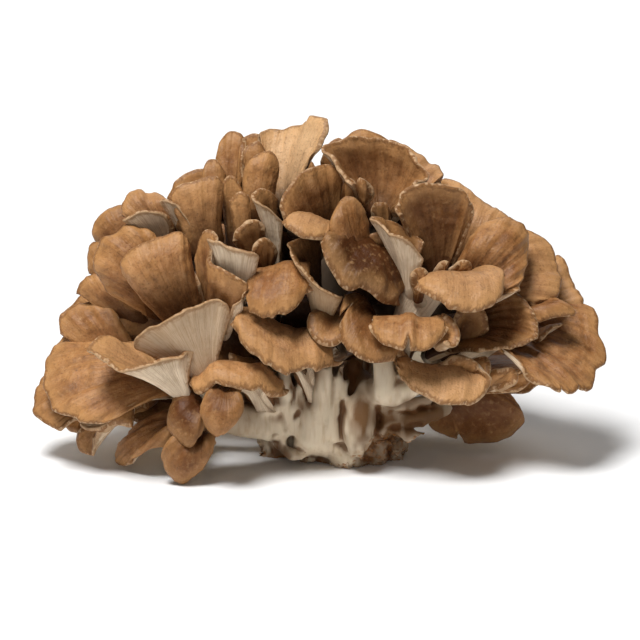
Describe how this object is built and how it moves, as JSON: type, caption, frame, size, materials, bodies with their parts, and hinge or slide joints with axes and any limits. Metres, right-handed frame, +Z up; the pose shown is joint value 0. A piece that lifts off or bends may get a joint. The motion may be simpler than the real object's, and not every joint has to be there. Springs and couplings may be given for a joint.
{
  "type": "maitake mushroom",
  "caption": "Cluster of overlapping wavy brown fan-shaped fronds on cream branches that fork from one short cream trunk, cut flat underneath.",
  "frame": {"origin": "on the flat cut under the trunk, below the middle of the trunk, on the ground", "axes": "+Z up from the cut, +X along the cluster's width, -Y towards the side with the bare trunk"},
  "size_m": [0.2292, 0.1296, 0.1316],
  "materials": {
    "cap_skin": "matt brown fungus skin with darker radial streaks and a pale rim",
    "stem_flesh": "matt cream fungus flesh"
  },
  "bodies": {
    "root": {"trunk": "stem_flesh", "branch_left_low": "cap_skin", "branch_left_front": "cap_skin", "branch_left_mid": "cap_skin", "branch_left_high": "cap_skin", "branch_top_left": "cap_skin", "branch_top_right": "cap_skin", "branch_centre_front": "cap_skin", "branch_centre_right": "cap_skin", "branch_right_high": "cap_skin", "branch_right_low": "cap_skin", "branch_back_left": "cap_skin", "branch_back": "cap_skin", "branch_back_right": "cap_skin"}
  },
  "joints": []
}
